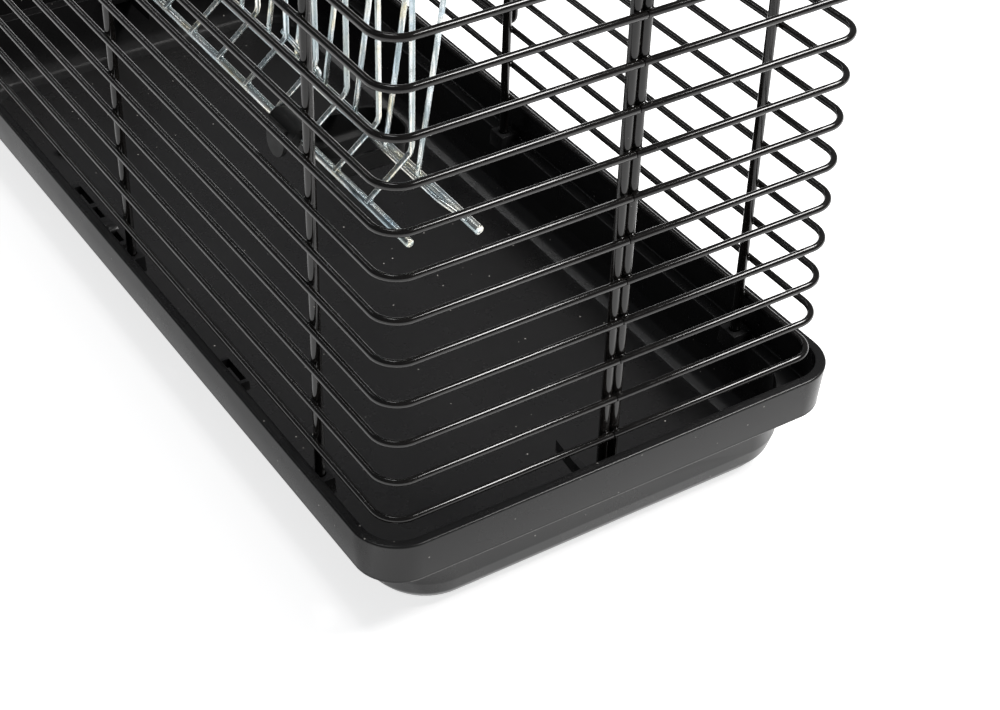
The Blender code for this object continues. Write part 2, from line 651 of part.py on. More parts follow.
# hinge bands of the roof door
d = Vector((0.0, ROOF_DOOR_Y[0], ROOF_DOOR_Z - BAR_Z))
u = d.normalized()
for tag, x in (("left", -2.0 * PITCH), ("right", 2.0 * PITCH)):
    strap("roof_door_hinge_%s" % tag,
          frame_at((x, 0.0, BAR_Z), u, Vector((1, 0, 0)).cross(u)),
          d.length, UPRIGHT_R + CLEAR, 9 * MM)

# latches, drawn swung clear of the wire they hook round
side_gap = math.hypot(SIDE_DOOR_X - ux, UPRIGHT_Y - SIDE_DOOR_Y[1])
side_dir = math.degrees(math.atan2(UPRIGHT_Y - SIDE_DOOR_Y[1], ux - SIDE_DOOR_X))
SWING = 80.0
latch("side_door_latch",
      frame_at((SIDE_DOOR_X, SIDE_DOOR_Y[1], LEVEL0_Z + 5.5 * PITCH), (1, 0, 0), (0, 1, 0)),
      (SIDE_DOOR_X, SIDE_DOOR_Y[1], LEVEL0_Z + 5.5 * PITCH),
      side_dir - 150.0 + SWING, side_dir + 45.0 + SWING, side_dir - 22.0 + SWING,
      side_gap + UPRIGHT_R + 1.2 * MM, 9 * MM)
roof_gap = UPRIGHT_Y - ROOF_DOOR_Y[1]
latch("roof_door_latch",
      frame_at((0.0, ROOF_DOOR_Y[1], ROOF_DOOR_Z), (0, 1, 0), (0, 0, 1)),
      (0.0, ROOF_DOOR_Y[1], ROOF_DOOR_Z),
      150.0 - SWING, -50.0 - SWING, 17.0 - SWING,
      roof_gap + UPRIGHT_R + 1.2 * MM, 9 * MM)
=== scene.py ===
"""Looks of the wire rabbit cage: fine meshes and procedural materials around the
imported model, plus floor, lights and camera.  Metres, +Z up."""
import math
import random

import bmesh
import bpy
from mathutils import Matrix, Vector, noise


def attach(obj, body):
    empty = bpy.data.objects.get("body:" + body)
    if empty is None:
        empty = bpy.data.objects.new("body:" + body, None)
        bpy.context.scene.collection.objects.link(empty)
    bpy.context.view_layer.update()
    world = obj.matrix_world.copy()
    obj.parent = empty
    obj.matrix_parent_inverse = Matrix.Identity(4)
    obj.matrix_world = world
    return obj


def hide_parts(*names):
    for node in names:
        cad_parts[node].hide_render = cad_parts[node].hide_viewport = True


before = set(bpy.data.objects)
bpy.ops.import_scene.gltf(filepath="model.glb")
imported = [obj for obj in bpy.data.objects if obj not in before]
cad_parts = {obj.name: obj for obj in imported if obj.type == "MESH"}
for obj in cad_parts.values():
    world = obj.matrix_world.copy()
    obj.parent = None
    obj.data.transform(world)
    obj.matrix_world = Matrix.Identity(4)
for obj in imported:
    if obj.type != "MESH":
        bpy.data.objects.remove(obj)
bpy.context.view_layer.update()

MM = 0.001
rng = random.Random(41)

# ---- sizes shared with the model -----------------------------------------
PITCH, LEVELS, LEVEL0_Z = 25.0, 13, 80.0
HALF_X, HALF_Y, BEND_R = 137.5, 310.0, 14.5
WIRE_R, UPRIGHT_R, UPRIGHT_IN, UPRIGHT_Y, RIGHT_NEAR_Y = 2.0, 2.9, 4.0, 232.5, 246.0
PAIR_X, HALF_GAP, FOOT_Z = 3.05, 0.25, 50.7
TOP_Z = LEVEL0_Z + (LEVELS - 1) * PITCH
CUT_LOW, CUT_HIGH = 3, 8
CLEAR = 0.3
ROOF_Z = TOP_Z + 2 * WIRE_R + CLEAR
ROOF_R = 1.95
BAR_Z = ROOF_Z + 4.0
DOOR_R, DOOR_FILL_R, DOOR_BEND = 2.0, 1.75, 8.0
SIDE_DOOR_X = HALF_X + WIRE_R + CLEAR + DOOR_R
SIDE_DOOR_Y, SIDE_DOOR_Z = (4.0, 228.5), (130.0, 305.0)
ROOF_DOOR_Z = ROOF_Z + ROOF_R + CLEAR + DOOR_R + 0.15
ROOF_DOOR_X, ROOF_DOOR_Y = 87.5, (8.0, 224.5)
LIP_TOP, LIP_OUT, LIP_IN, LEDGE_Z, LEDGE_IN, SKIRT_Z, FLOOR_Z = 72.5, 12.5, 5.5, 50.0, -3.0, 46.0, 3.0
RACK_WIRES, RACK_STEP, RACK_Y0, RACK_END = 9, 30.9, -256.75, 37.0
ROD_L, ROD_L_R, ROD_R, ROD_R_R, THIN_R = (-115.0, 235.0), 2.25, (-76.75, 228.75), 2.5, 1.3
THIN_SEEN_R = 1.45
RACK_BEND, RACK_TOP = (-91.75, 257.5), 350.0
FRONT_FOOT, FRONT_TOP, SPACER = (-79.3, 228.9), (-62.2, 345.0), (-83.2, 233.0)
DISH_Y, SADDLE_W, DISH_X, DISH_HALF_Y, DISH_TOP, DISH_DEPTH = -179.55, 26.0, (-109.5, -52.0), 20.5, 222.0, 16.0


# ---- materials -----------------------------------------------------------
class Look:
    """Node material built from noise on the piece's own coordinates."""

    def __init__(self, name):
        self.m = bpy.data.materials.new(name)
        self.m.use_nodes = True
        self.t = self.m.node_tree
        self.b = self.t.nodes["Principled BSDF"]
        self.co = self.t.nodes.new("ShaderNodeTexCoord").outputs["Object"]

    def node(self, kind, **values):
        n = self.t.nodes.new(kind)
        for k, v in values.items():
            if k in n.inputs:
                n.inputs[k].default_value = v
            else:
                setattr(n, k, v)
        return n

    def wire(self, a, b):
        self.t.links.new(a, b)

    def scaled(self, scale, rotation=(0, 0, 0)):
        n = self.node("ShaderNodeMapping")
        n.inputs["Scale"].default_value = scale
        n.inputs["Rotation"].default_value = rotation
        self.wire(self.co, n.inputs["Vector"])
        return n.outputs["Vector"]

    def noise(self, scale, detail=3.0, rough=0.55, vector=None, distortion=0.0):
        n = self.node("ShaderNodeTexNoise")
        n.inputs["Scale"].default_value = scale
        n.inputs["Detail"].default_value = detail
        n.inputs["Roughness"].default_value = rough
        n.inputs["Distortion"].default_value = distortion
        self.wire(vector or self.co, n.inputs["Vector"])
        return n.outputs["Fac"]

    def ramp(self, fac, stops):
        n = self.node("ShaderNodeValToRGB")
        e = n.color_ramp.elements
        while len(e) < len(stops):
            e.new(0.5)
        for el, (pos, col) in zip(e, stops):
            el.position = pos
            el.color = (*col, 1.0) if len(col) == 3 else col
        self.wire(fac, n.inputs["Fac"])
        return n.outputs["Color"]

    def span(self, fac, lo, hi, a=0.3, b=0.7):
        n = self.node("ShaderNodeMapRange")
        for k, v in (("From Min", a), ("From Max", b), ("To Min", lo), ("To Max", hi)):
            n.inputs[k].default_value = v
        self.wire(fac, n.inputs["Value"])
        return n.outputs["Result"]

    def mix(self, fac, a, b):
        n = self.node("ShaderNodeMix")
        n.data_type = 'RGBA'
        self.wire(fac, n.inputs["Factor"])
        for sock, v in ((n.inputs[6], a), (n.inputs[7], b)):
            if isinstance(v, tuple):
                sock.default_value = (*v, 1.0)
            else:
                self.wire(v, sock)
        return n.outputs[2]

    def math(self, op, a, b):
        n = self.node("ShaderNodeMath")
        n.operation = op
        for sock, v in ((n.inputs[0], a), (n.inputs[1], b)):
            if isinstance(v, (int, float)):
                sock.default_value = v
            else:
                self.wire(v, sock)
        return n.outputs[0]

    def bump(self, height, strength, distance, normal=None):
        n = self.node("ShaderNodeBump")
        n.inputs["Strength"].default_value = strength
        n.inputs["Distance"].default_value = distance
        self.wire(height, n.inputs["Height"])
        if normal is not None:
            self.wire(normal, n.inputs["Normal"])
        return n.outputs["Normal"]

    def set(self, **values):
        for k, v in values.items():
            sock = self.b.inputs[k.replace("_", " ")]
            if isinstance(v, (int, float)):
                sock.default_value = v
            elif isinstance(v, tuple):
                sock.default_value = (*v, 1.0) if len(v) == 3 and sock.type == 'RGBA' else v
            else:
                self.wire(v, sock)
        return self.m


def look_wire():
    k = Look("coated_wire")
    tone = k.ramp(k.noise(70, 4), [(0.3, (0.0042, 0.0037, 0.0034)), (0.7, (0.0080, 0.0070, 0.0064))])
    peel = k.noise(420, 2)
    dust = k.span(k.noise(900, 2, 0.5), 0.0, 1.0, 0.735, 0.76)
    tone = k.mix(dust, tone, (0.16, 0.15, 0.14))
    normal = k.bump(k.noise(120, 3), 0.15, 0.00010)
    normal = k.bump(peel, 0.10, 0.00003, normal)
    return k.set(Base_Color=tone, Roughness=k.span(k.noise(160, 3), 0.09, 0.16), Normal=normal,
                 IOR=1.46, Coat_Weight=0.0)


def look_tray():
    k = Look("moulded_black_plastic")
    flow = k.noise(5.5, 4, 0.6, distortion=0.4)
    tone = k.ramp(flow, [(0.3, (0.0150, 0.0148, 0.0152)), (0.7, (0.0205, 0.0200, 0.0202))])
    specks = k.node("ShaderNodeTexVoronoi")
    specks.inputs["Scale"].default_value = 100.0
    k.wire(k.co, specks.inputs["Vector"])
    grain = k.span(specks.outputs["Distance"], 1.0, 0.0, 0.03, 0.06)
    some = k.span(k.noise(38, 2), 0.0, 1.0, 0.43, 0.46)
    dots = k.math('MULTIPLY', grain, some)
    fine = k.span(k.noise(1500, 2, 0.5), 0.0, 0.5, 0.73, 0.78)
    tone = k.mix(fine, tone, (0.16, 0.155, 0.15))
    tone = k.mix(dots, tone, (0.5, 0.48, 0.45))
    # painted highlight: a pale line along the skirt's lower edge stands in for the glint on its rounded bottom edge
    axes = k.node("ShaderNodeSeparateXYZ")
    k.wire(k.co, axes.inputs["Vector"])
    outside = k.math('MAXIMUM', k.math('SUBTRACT', k.math('ABSOLUTE', axes.outputs["X"], 0.0), 0.1472),
                     k.math('SUBTRACT', k.math('ABSOLUTE', axes.outputs["Y"], 0.0), 0.3197))
    outside = k.span(outside, 0.0, 1.0, 0.0, 0.0002)
    edge = k.span(axes.outputs["Z"], 1.0, 0.0, 0.0464, 0.0468)
    # painted highlight mixed in along the skirt's lower edge
    tone = k.mix(k.math('MULTIPLY', edge, outside), tone, (0.24, 0.235, 0.23))
    rough = k.span(k.noise(18, 5, 0.65), 0.24, 0.32)
    normal = k.bump(k.noise(9, 2), 0.35, 0.0006)
    normal = k.bump(k.noise(1700, 2), 0.10, 0.00002, normal)
    # painted shade: the outer faces and rim get a darker base colour and a weaker reflection than the floor, the left
    # face weakest; the far end and the near right corner get a weaker reflection too
    rim = k.math('MAXIMUM', k.math('SUBTRACT', k.math('ABSOLUTE', axes.outputs["X"], 0.0), 0.126),
                 k.math('SUBTRACT', k.math('ABSOLUTE', axes.outputs["Y"], 0.0), 0.299))
    tone = k.mix(k.span(rim, 0.0, 0.5, 0.0, 0.003), tone, (0.0035, 0.0035, 0.0038))
    level = k.span(rim, 1.0, 0.68, 0.0, 0.003)
    # painted shade: weaker reflection on the left face, the far end and the near right corner
    left = k.span(axes.outputs["X"], 0.12, 0.36, -0.1492, -0.1455)
    far = k.span(axes.outputs["Y"], 1.0, 0.25, 0.250, 0.285)
    corner = k.span(k.math('SUBTRACT', axes.outputs["X"], axes.outputs["Y"]), 1.0, 0.5, 0.4495, 0.4585)
    far = k.math('MULTIPLY', far, corner)
    return k.set(Base_Color=tone, Roughness=rough, Normal=normal, IOR=1.5,
                 Specular_IOR_Level=k.math('MULTIPLY', k.math('MULTIPLY', left, far), level))


def look_zinc():
    k = Look("zinc_plated_wire")
    patch = k.noise(48, 3, 0.6)
    cast = k.ramp(patch, [(0.30, (0.48, 0.60, 0.68)), (0.44, (0.74, 0.79, 0.80)),
                          (0.56, (0.82, 0.81, 0.74)), (0.70, (0.70, 0.66, 0.48))])
    dull = k.span(k.noise(260, 4, 0.6), 0.0, 0.6, 0.56, 0.74)
    cast = k.mix(dull, cast, (0.33, 0.34, 0.33))
    # dark streaks run along the rods low down and up the wires above them: drawing marks, and painted reflection
    # standing in for the darker sides of the shiny wires
    axes = k.node("ShaderNodeSeparateXYZ")
    k.wire(k.co, axes.inputs["Vector"])
    above = k.span(axes.outputs["Z"], 0.0, 1.0, 0.2375, 0.2395)
    flat = k.span(k.noise(1.0, 2, 0.5, vector=k.scaled((520, 9, 520))), 0.0, 0.75, 0.47, 0.55)
    tall = k.span(k.noise(1.0, 2, 0.5, vector=k.scaled((760, 760, 9))), 0.0, 0.75, 0.47, 0.55)
    streak_and_painted_reflection = k.math('ADD', k.math('MULTIPLY', above, tall),
                    k.math('MULTIPLY', k.math('SUBTRACT', 1.0, above), flat))
    # painted reflection: dark streaks mixed in along the wires
    cast = k.mix(streak_and_painted_reflection, cast, (0.27, 0.34, 0.36))
    draw = k.noise(1.0, 3, 0.6, vector=k.scaled((700, 28, 160)))
    normal = k.bump(draw, 0.25, 0.00006)
    normal = k.bump(k.noise(900, 3), 0.2, 0.00003, normal)
    return k.set(Base_Color=cast, Metallic=0.93, Roughness=k.span(k.noise(130, 4), 0.17, 0.30),
                 Normal=normal)


def look_strip():
    k = Look("black_spring_strip")
    tone = k.ramp(k.noise(110, 3), [(0.3, (0.007, 0.007, 0.007)), (0.7, (0.014, 0.014, 0.014))])
    normal = k.bump(k.noise(1.0, 3, vector=k.scaled((260, 260, 1400))), 0.2, 0.00004)
    return k.set(Base_Color=tone, Roughness=k.span(k.noise(210, 3), 0.24, 0.40), Normal=normal,
                 IOR=1.5)


def look_dish():
    k = Look("matt_black_dish_plastic")
    tone = k.ramp(k.noise(60, 4), [(0.3, (0.006, 0.006, 0.006)), (0.7, (0.011, 0.011, 0.011))])
    fine = k.span(k.noise(1400, 2), 0.0, 0.4, 0.73, 0.79)
    tone = k.mix(fine, tone, (0.14, 0.14, 0.13))
    normal = k.bump(k.noise(1300, 3), 0.3, 0.00003)
    return k.set(Base_Color=tone, Roughness=k.span(k.noise(90, 3), 0.36, 0.50), Normal=normal,
                 IOR=1.2)


WIRE, TRAY, ZINC, STRIP, DISH = look_wire(), look_tray(), look_zinc(), look_strip(), look_dish()


# ---- mesh helpers (millimetres in, metres out) ---------------------------
def arc(cx, cy, radius, a0, a1, steps):
    return [(cx + radius * math.cos(math.radians(a0 + (a1 - a0) * i / steps)),
             cy + radius * math.sin(math.radians(a0 + (a1 - a0) * i / steps)))
            for i in range(steps + 1)]


def softened(points, radius, steps=5, closed=False):
    """Polyline with its corners turned into arcs."""
    pts = [Vector(p) for p in points]
    n, out = len(pts), []
    for i, p in enumerate(pts):
        if not closed and i in (0, n - 1):
            out.append(p.copy())
            continue
        u, v = pts[i - 1] - p, pts[(i + 1) % n] - p
        lu, lv = u.length, v.length
        u.normalize(); v.normalize()
        ang = u.angle(v)
        if ang > math.pi - 0.03:
            out.append(p.copy())
            continue
        t = min(radius / math.tan(ang / 2), lu * 0.48, lv * 0.48)
        r = t * math.tan(ang / 2)
        c = p + (u + v).normalized() * (r / math.sin(ang / 2))
        s, e = p + u * t - c, p + v * t - c
        turn, axis = s.angle(e), s.cross(e).normalized()
        for k in range(steps + 1):
            out.append(c + Matrix.Rotation(turn * k / steps, 3, axis) @ s)
    return out


def directions(pts, closed):
    n, out = len(pts), []
    for i in range(n):
        a = pts[i - 1] if (closed or i > 0) else pts[i]
        b = pts[(i + 1) % n] if (closed or i < n - 1) else pts[i]
        out.append((b - a).normalized())
    return out


def rod(bm, path, radius, sides=14, closed=False, chamfer=0.3, bumpy=0.0):
    """Round wire swept along a path, its cut ends chamfered."""
    pts = [Vector(p) for p in path]
    clean = [pts[0]]
    for p in pts[1:]:
        if (p - clean[-1]).length > 1e-4:
            clean.append(p)
    pts = clean
    if closed and (pts[0] - pts[-1]).length < 1e-4:
        pts.pop()
    tan = directions(pts, closed)
    ref = Vector((0, 0, 1)) if abs(tan[0].z) < 0.9 else Vector((1, 0, 0))
    u = tan[0].cross(ref).normalized()
    rows = []
    for i, (p, t) in enumerate(zip(pts, tan)):
        u = (u - t * u.dot(t)).normalized()
        w = t.cross(u)
        # each point gets a ring of the full radius; the ends of an open path get three rings narrowing into the chamfer
        stations = [(p, 1.0)]
        if not closed and i == 0:
            c = chamfer * radius
            stations = [(p, 1.0 - chamfer * 0.75), (p + t * c * 0.4, 1.0 - chamfer * 0.2), (p + t * c, 1.0)]
        elif not closed and i == len(pts) - 1:
            c = chamfer * radius
            stations = [(p - t * c, 1.0), (p - t * c * 0.4, 1.0 - chamfer * 0.2), (p, 1.0 - chamfer * 0.75)]
        for q, k in stations:
            r = radius * k
            if bumpy:
                r *= 1.0 + bumpy * noise.noise(q * 0.11)
            rows.append([bm.verts.new((q + u * (r * math.cos(a)) + w * (r * math.sin(a))) * MM)
                         for a in [2 * math.pi * j / sides for j in range(sides)]])
    pairs = list(zip(rows, rows[1:])) + ([(rows[-1], rows[0])] if closed else [])
    for a, b in pairs:
        for j in range(sides):
            m = (j + 1) % sides
            bm.faces.new((a[j], a[m], b[m], b[j]))
    if not closed:
        bm.faces.new(rows[0][::-1])
        bm.faces.new(rows[-1])


def ribbon(bm, path, axis, width, gauge, closed=False, edge=0.3):
    """Flat strip with rounded edges; axis is the direction of its width."""
    pts = [Vector(p) for p in path]
    axis = Vector(axis).normalized()
    e, hw, hg = edge, width / 2, gauge / 2
    section = []
    for cx, cy, a in ((hg - e, hw - e, 0), (-hg + e, hw - e, 90), (-hg + e, -hw + e, 180), (hg - e, -hw + e, 270)):
        section += arc(cx, cy, e, a, a + 90, 3)
    rows = []
    for p, t in zip(pts, directions(pts, closed)):
        n = axis.cross(t).normalized()
        rows.append([bm.verts.new((p + n * a + axis * b) * MM) for a, b in section])
    m = len(section)
    pairs = list(zip(rows, rows[1:])) + ([(rows[-1], rows[0])] if closed else [])
    for a, b in pairs:
        for j in range(m):
            k = (j + 1) % m
            bm.faces.new((a[j], a[k], b[k], b[j]))
    if not closed:
        bm.faces.new(rows[0][::-1])
        bm.faces.new(rows[-1])


def nugget(bm, centre, size, seed):
    """Lump of weld metal where two wires cross."""
    made = bmesh.ops.create_icosphere(bm, subdivisions=2, radius=1.0)
    for v in made["verts"]:
        k = 1.0 + 0.16 * noise.noise(v.co * 1.7 + Vector((seed * 3.1, seed * 1.3, 0)))
        v.co = (Vector(centre) + Vector((v.co.x * size[0], v.co.y * size[1], v.co.z * size[2])) * k) * MM


def piece(name, bm, look, body, nodes=(), sharp=42.0, extra=None):
    bmesh.ops.recalc_face_normals(bm, faces=bm.faces)
    me = bpy.data.meshes.new(name)
    bm.to_mesh(me)
    bm.free()
    ob = bpy.data.objects.new(name, me)
    bpy.context.scene.collection.objects.link(ob)
    if extra:
        extra(ob)
        me = ob.data
    me.materials.clear()
    me.materials.append(look)
    for p in me.polygons:
        p.use_smooth = True
    me.set_sharp_from_angle(angle=math.radians(sharp))
    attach(ob, body)
    if nodes:
        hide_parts(*nodes)
    return ob


def boolean(ob, tool, how):
    mod = ob.modifiers.new("cut", 'BOOLEAN')
    mod.operation, mod.solver, mod.object = how, 'EXACT', tool
    bpy.context.view_layer.update()
    graph = bpy.context.evaluated_depsgraph_get()
    me = bpy.data.meshes.new_from_object(ob.evaluated_get(graph))
    ob.modifiers.clear()
    old, ob.data = ob.data, me
    bpy.data.meshes.remove(old)
    t = tool.data
    bpy.data.objects.remove(tool, do_unlink=True)
    bpy.data.meshes.remove(t)
    bm = bmesh.new()
    bm.from_mesh(ob.data)
    bmesh.ops.remove_doubles(bm, verts=bm.verts, dist=1e-6)
    bmesh.ops.dissolve_degenerate(bm, edges=bm.edges, dist=1e-6)
    bm.to_mesh(ob.data)
    bm.free()


def tool_of(bm, name="tool"):
    bmesh.ops.recalc_face_normals(bm, faces=bm.faces)
    me = bpy.data.meshes.new(name)
    bm.to_mesh(me)
    bm.free()
    ob = bpy.data.objects.new(name, me)
    bpy.context.scene.collection.objects.link(ob)
    return ob


def brick(bm, lo, hi, bevel=0.0, top=None):
    """Block with bevelled edges; top narrows its upper face by that much a side."""
    made = bmesh.ops.create_cube(bm, size=1.0)["verts"]
    mid = [(lo[i] + hi[i]) / 2 for i in range(3)]
    for v in made:
        up = v.co.z > 0
        p = [lo[i] + (v.co[i] + 0.5) * (hi[i] - lo[i]) for i in range(3)]
        if top and up:
            for i in (0, 1):
                p[i] += top if p[i] < mid[i] else -top
        v.co = Vector(p) * MM
    if bevel:
        edges = list({e for v in made for e in v.link_edges})
        bmesh.ops.bevel(bm, geom=edges, offset=bevel * MM, segments=2, profile=0.6, affect='EDGES')


def prism(bm, outline, z0, z1):
    lower = [bm.verts.new(Vector((x, y, z0)) * MM) for x, y in outline]
    upper = [bm.verts.new(Vector((x, y, z1)) * MM) for x, y in outline]
    n = len(outline)
    for i in range(n):
        j = (i + 1) % n
        bm.faces.new((lower[i], lower[j], upper[j], upper[i]))
    bm.faces.new(lower[::-1])
    bm.faces.new(upper)


# ---- tray ----------------------------------------------------------------
def ring(out, z, radius, hx=HALF_X, hy=HALF_Y, cx=0.0, cy=0.0, steps=18):
    x, y = hx + out - radius, hy + out - radius
    pts = (arc(cx + x, cy + y, radius, 0, 90, steps) + arc(cx - x, cy + y, radius, 90, 180, steps)
           + arc(cx - x, cy - y, radius, 180, 270, steps) + arc(cx + x, cy - y, radius, 270, 360, steps))
    return [(p[0], p[1], z) for p in pts]


def rounded_profile(profile, steps=5):
    """(out, height, corner radius, rounding) points with each corner rounded."""
    out = []
    for i, (d, z, r, f) in enumerate(profile):
        if f == 0 or i in (0, len(profile) - 1):
            out.append((d, z, r))
            continue
        p, a, b = Vector((d, z)), Vector(profile[i - 1][:2]), Vector(profile[i + 1][:2])
        u, v = a - p, b - p
        lu, lv = u.length, v.length
        u.normalize(); v.normalize()
        ang = u.angle(v)
        t = min(f / math.tan(ang / 2), lu * 0.48, lv * 0.48)
        rr = t * math.tan(ang / 2)
        c = p + (u + v).normalized() * (rr / math.sin(ang / 2))
        s, e = p + u * t - c, p + v * t - c
        r0 = r + (profile[i - 1][2] - r) * t / lu
        r1 = r + (profile[i + 1][2] - r) * t / lv
        turn = math.atan2(s.x * e.y - s.y * e.x, s.dot(e))
        for k in range(steps + 1):
            w = k / steps
            q = c + Matrix.Rotation(turn * w, 2) @ s
            out.append((q.x, q.y, r0 + (r1 - r0) * w))
    return out


def loft(bm, rings):
    rows = [[bm.verts.new(Vector(p) * MM) for p in r] for r in rings]
    n = len(rows[0])
    for a, b in zip(rows, rows[1:]):
        for i in range(n):
            j = (i + 1) % n
            bm.faces.new((a[i], a[j], b[j], b[i]))
    bm.faces.new(rows[0])
    bm.faces.new(rows[-1])


def build_tray():
    c = BEND_R
    profile = [
        (-24.0, FLOOR_Z, 22, 0), (-19.0, FLOOR_Z + 0.2, 25, 3), (-13.5, 6.2, 28, 8), (-8.6, 13.0, 32, 9),
        (-6.6, 22.0, 33, 12), (LEDGE_IN, LEDGE_Z, 35, 0.9), (LIP_IN, LEDGE_Z, c + LIP_IN, 1.1),
        (LIP_IN + 0.9, LIP_TOP, c + LIP_IN + 0.6, 0.9), (LIP_OUT, LIP_TOP, c + LIP_OUT, 1.25),
        (LIP_OUT - 1.8, SKIRT_Z + 1.6, c + LIP_OUT - 1.8, 0.5), (LIP_OUT - 1.75, SKIRT_Z, c + LIP_OUT - 1.8, 0.45),
        (LIP_OUT - 4.0, SKIRT_Z, c + LIP_OUT - 4.0, 0.5), (LIP_OUT - 2.6, LIP_TOP - 2.3, c + LIP_OUT - 2.6, 0.8),
        (LIP_IN + 2.3, LIP_TOP - 2.3, c + LIP_IN + 2.3, 0.8), (LIP_IN + 1.9, LEDGE_Z - 2.3, c + LIP_IN + 1.9, 0.8),
        (-0.6, LEDGE_Z - 2.3, 37, 0.8), (-4.2, 21.0, 36, 12), (-6.6, 11.5, 34, 9), (-12.0, 3.8, 31, 8),
        (-18.0, 0.7, 28, 5), (-24.0, 0.0, 24, 0),
    ]
    bm = bmesh.new()
    rings = []
    for d, z, r in rounded_profile(profile):
        # the lower pan hangs a little toward the near right corner
        w = min(1.0, max(0.0, (LEDGE_Z - 3.0 - z) / 12.0)) if d < LIP_IN - 4.0 else 0.0
        rings.append(ring(d, z, r, cx=4.0 * w, cy=-2.6 * w))
    loft(bm, rings)

    ux, uy = HALF_X - UPRIGHT_IN, HALF_Y - UPRIGHT_IN
    add, cut, ribs = bmesh.new(), bmesh.new(), bmesh.new()
    for s in (-1, 1):
        for y in (-UPRIGHT_Y if s < 0 else -RIGHT_NEAR_Y, 0.0, UPRIGHT_Y):
            a, b = sorted((s * (ux - 6.0), s * (HALF_X + 4.2)))
            brick(add, (a, y - 7.5, 44.0), (b, y + 7.5, 55.0), 0.7, 0.5)
            prism(cut, arc(s * ux, y, UPRIGHT_R + 0.5, 0, 345, 23), 50.3, 60.0)
        # sockets of the paired end verticals, with a tapered web beside each
        a, b = sorted((s * (uy - 6.0), s * (HALF_Y + 4.2)))
        brick(add, (-10.5, a, 44.0), (10.5, b, 55.0), 0.7, 0.5)
        brick(cut, (-PAIR_X - UPRIGHT_R - 0.6, s * uy - UPRIGHT_R - 0.6, 50.3),
              (PAIR_X + UPRIGHT_R + 0.6, s * uy + UPRIGHT_R + 0.6, 60.0), 0.0)
        web = [(s * 10.2, s * (HALF_Y - 2.0)), (s * 5.4, s * (HALF_Y - 2.0)),
               (s * 5.7, s * (HALF_Y - 22.0)), (s * 6.3, s * (HALF_Y - 40.0)), (s * 7.4, s * (HALF_Y - 40.0)),
               (s * 9.4, s * (HALF_Y - 22.0))]
        prism(ribs, web, 42.0, 50.2)
        if s > 0:
            continue
        # clip station beside the left side's middle vertical: widened ledge, slots and a catch
        def at(x, y):
            return x, y

        def slab(store, x0, x1, y0, y1, z0, z1, bevel=0.0, top=None):
            p, q = at(x0, y0), at(x1, y1)
            brick(store, (min(p[0], q[0]), min(p[1], q[1]), z0), (max(p[0], q[0]), max(p[1], q[1]), z1), bevel, top)
        slab(add, -126.4, -136.5, 16.0, 93.0, 44.0, 50.5, 0.6, 0.5)
        slab(cut, -127.9, -132.2, 67.0, 88.5, 41.0, 52.0)
        slab(cut, -128.6, -131.8, 49.5, 62.5, 41.0, 52.0)
        slab(cut, -129.2, -134.8, 20.5, 33.0, 41.0, 52.0)
        slab(add, -126.4, -136.5, -139.5, -112.5, 44.0, 50.5, 0.6, 0.5)
        slab(cut, -127.9, -132.6, -136.5, -115.5, 41.0, 52.0)
        slab(cut, -126.0, -131.0, -303.5, -291.5, 47.0, 52.0)
        for y in (142.5, -45.0):
            p = at(-138.9, y)
            prism(cut, arc(p[0], p[1], 1.5, 0, 345, 23), 40.0, 56.0)
        p = at(-97.5, 199.0)
        add_pip = bmesh.ops.create_uvsphere(add, u_segments=20, v_segments=12, radius=1.0)
        for v in add_pip["verts"]:
            v.co = Vector((p[0] + v.co.x * 3.2, p[1] + v.co.y * 3.2, FLOOR_Z + 3.0 + v.co.z * 2.0)) * MM

    def refine(ob):
        boolean(ob, tool_of(ribs), 'UNION')
        boolean(ob, tool_of(add), 'UNION')
        boolean(ob, tool_of(cut), 'DIFFERENCE')
    tray = piece("tray_moulding", bm, TRAY, "tray", ("tray",), 35.0, refine)

    # rounded snap catches standing in the third slots
    for tag, s in (("left", -1),):
        bm = bmesh.new()
        cx, cy = s * 130.6, -s * 37.2
        rows = []
        for t in range(13):
            a = math.pi * t / 12
            hz, hy = 50.2 + 2.6 * math.sin(a), 5.6 * math.cos(a)
            rows.append([(cx - 3.0, cy + hy, hz), (cx - 2.2, cy + hy * 0.98, hz + 0.35 * math.sin(a)),
                         (cx + 2.2, cy + hy * 0.98, hz + 0.35 * math.sin(a)), (cx + 3.0, cy + hy, hz),
                         (cx + 3.0, cy + hy * 0.9, 48.8), (cx - 3.0, cy + hy * 0.9, 48.8)])
        vs = [[bm.verts.new(Vector(p) * MM) for p in r] for r in rows]
        for a, b in zip(vs, vs[1:]):
            for j in range(6):
                k = (j + 1) % 6
                bm.faces.new((a[j], a[k], b[k], b[j]))
        bm.faces.new(vs[0])
        bm.faces.new(vs[-1])
        piece("tray_snap_catch_" + tag, bm, TRAY, "tray", (), 35.0)
    return tray


# ---- wire shells ---------------------------------------------------------
def shell_line(side, z, y_from=None, y_to=None):
    x, y = HALF_X - BEND_R, HALF_Y - BEND_R
    near = [(HALF_GAP, -HALF_Y)] + arc(x, -y, BEND_R, 270, 360, 12)
    far = arc(x, y, BEND_R, 0, 90, 12) + [(HALF_GAP, HALF_Y)]
    if y_to is not None:
        pts = near + [(HALF_X, y_to)]
    elif y_from is not None:
        pts = [(HALF_X, y_from)] + far
    else:
        pts = near + far
    return [(side * p[0], p[1], z) for p in pts]


